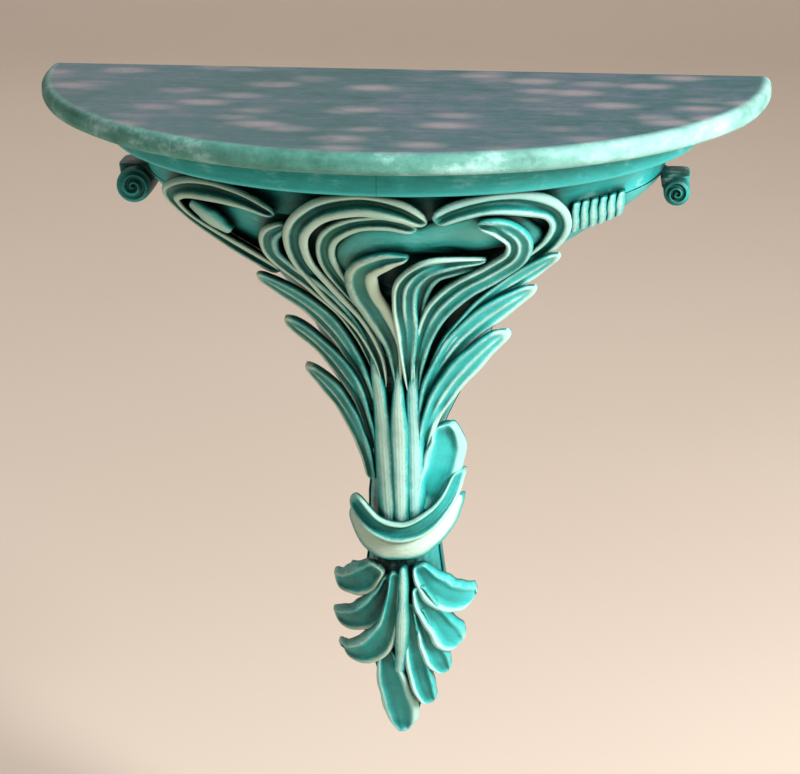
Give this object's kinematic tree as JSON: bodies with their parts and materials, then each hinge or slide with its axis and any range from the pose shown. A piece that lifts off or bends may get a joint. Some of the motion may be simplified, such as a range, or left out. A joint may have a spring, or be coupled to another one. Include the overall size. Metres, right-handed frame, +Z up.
{
  "type": "wall shelf",
  "caption": "Half-round wall shelf on a carved acanthus bracket, painted teal with cream ridges.",
  "frame": {"origin": "on the wall face, midway between the two keyholes", "axes": "+Z up, -Y out of the wall to the front, +X to the viewer's right"},
  "size_m": [0.44, 0.22, 0.436],
  "materials": {
    "board_paint": "sponged paint under satin varnish",
    "carving_paint": "teal paint with cream dry-brushed ridges",
    "raw_wood": "bare softwood",
    "steel": "zinc plated",
    "brass": "brassed plate"
  },
  "bodies": {
    "root": {"top_board": "board_paint", "canopy_left": "carving_paint", "canopy_right": "carving_paint", "drop_block_left": "carving_paint", "drop_block_right": "carving_paint", "flute_strip": "carving_paint", "back_board": "raw_wood", "core_upper": "carving_paint", "core_lower": "carving_paint", "dowels": "raw_wood", "back_screws": "steel", "keyhole_plate_left": "brass", "keyhole_plate_right": "brass", "plate_screws": "steel", "scroll_left": "carving_paint", "scroll_left_rib": "carving_paint", "scroll_left_floor": "carving_paint", "plume_left": "carving_paint", "plume_right": "carving_paint", "plume_right_rib": "carving_paint", "leaf_main": "carving_paint", "scroll_right": "carving_paint", "scroll_right_floor": "carving_paint", "frond_r1": "carving_paint", "frond_r2": "carving_paint", "frond_r3": "carving_paint", "scroll_outer": "carving_paint", "bud_outer": "carving_paint", "frond_l1": "carving_paint", "frond_l2": "carving_paint", "frond_l3": "carving_paint", "frond_l4": "carving_paint", "stem_left": "carving_paint", "stem_mid": "carving_paint", "stem_right": "carving_paint", "cup_side": "carving_paint", "cup_rim": "carving_paint", "cup_band": "carving_paint", "drop_l1": "carving_paint", "drop_l2": "carving_paint", "drop_l3": "carving_paint", "drop_r1": "carving_paint", "drop_r2": "carving_paint", "drop_r3": "carving_paint", "drop_r4": "carving_paint", "drop_mid": "carving_paint", "drop_tip": "carving_paint"}
  },
  "joints": []
}
